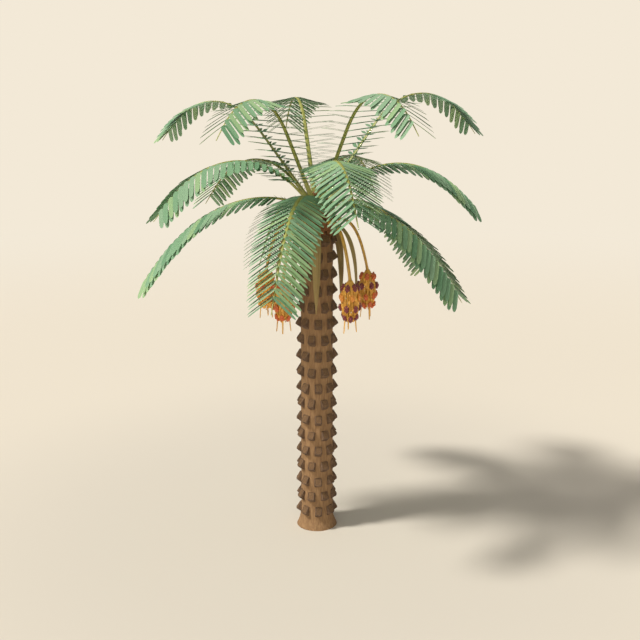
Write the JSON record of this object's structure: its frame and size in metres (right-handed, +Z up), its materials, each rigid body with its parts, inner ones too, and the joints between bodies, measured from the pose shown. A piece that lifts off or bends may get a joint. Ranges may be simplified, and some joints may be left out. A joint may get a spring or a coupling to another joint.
{
  "type": "date palm tree",
  "caption": "Mature date palm with a trunk of cut leaf stubs, whorls of arching feather fronds, hanging date bunches and dry spathes under the crown.",
  "frame": {"origin": "centre of the flat cut under the trunk, at ground level", "axes": "+Z up along the trunk; -Y is the side seen in the picture, +X to its right"},
  "size_m": [5.3583, 5.2738, 7.0477],
  "materials": {
    "trunk": "weathered brown palm stem with darker cut stubs",
    "heart": "coarse red-brown leaf-base fibre",
    "frond": "matte grey-green leaflets on an olive rib",
    "stalk": "smooth orange-gold fruit stalk",
    "dates": "golden strands with orange to maroon dates",
    "spathe": "dry olive-tan sheath"
  },
  "bodies": {
    "root": {"trunk": "trunk", "crown_heart": "heart", "fruit_stalk_1": "stalk", "fruit_stalk_2": "stalk", "fruit_stalk_3": "stalk", "fruit_stalk_4": "stalk", "fruit_stalk_5": "stalk", "date_bunch_1": "dates", "date_bunch_2": "dates", "date_bunch_3": "dates", "date_bunch_4": "dates", "date_bunch_5": "dates", "dry_spathe_1": "spathe", "dry_spathe_2": "spathe", "dry_spathe_3": "spathe", "dry_spathe_4": "spathe", "dry_spathe_5": "spathe", "frond_upper_1_inner": "frond", "frond_upper_1_outer": "frond", "frond_upper_2_inner": "frond", "frond_upper_2_outer": "frond", "frond_upper_3_inner": "frond", "frond_upper_3_outer": "frond", "frond_upper_4_inner": "frond", "frond_upper_4_outer": "frond", "frond_upper_5_inner": "frond", "frond_upper_5_outer": "frond", "frond_middle_1_inner": "frond", "frond_middle_1_outer": "frond", "frond_middle_2_inner": "frond", "frond_middle_2_outer": "frond", "frond_middle_3_inner": "frond", "frond_middle_3_outer": "frond", "frond_middle_4_inner": "frond", "frond_middle_4_outer": "frond", "frond_middle_5_inner": "frond", "frond_middle_5_outer": "frond", "frond_lower_1_inner": "frond", "frond_lower_1_outer": "frond", "frond_lower_2_inner": "frond", "frond_lower_2_outer": "frond", "frond_lower_3_inner": "frond", "frond_lower_3_outer": "frond", "frond_lower_4_inner": "frond", "frond_lower_4_outer": "frond", "frond_lower_5_inner": "frond", "frond_lower_5_outer": "frond"}
  },
  "joints": []
}
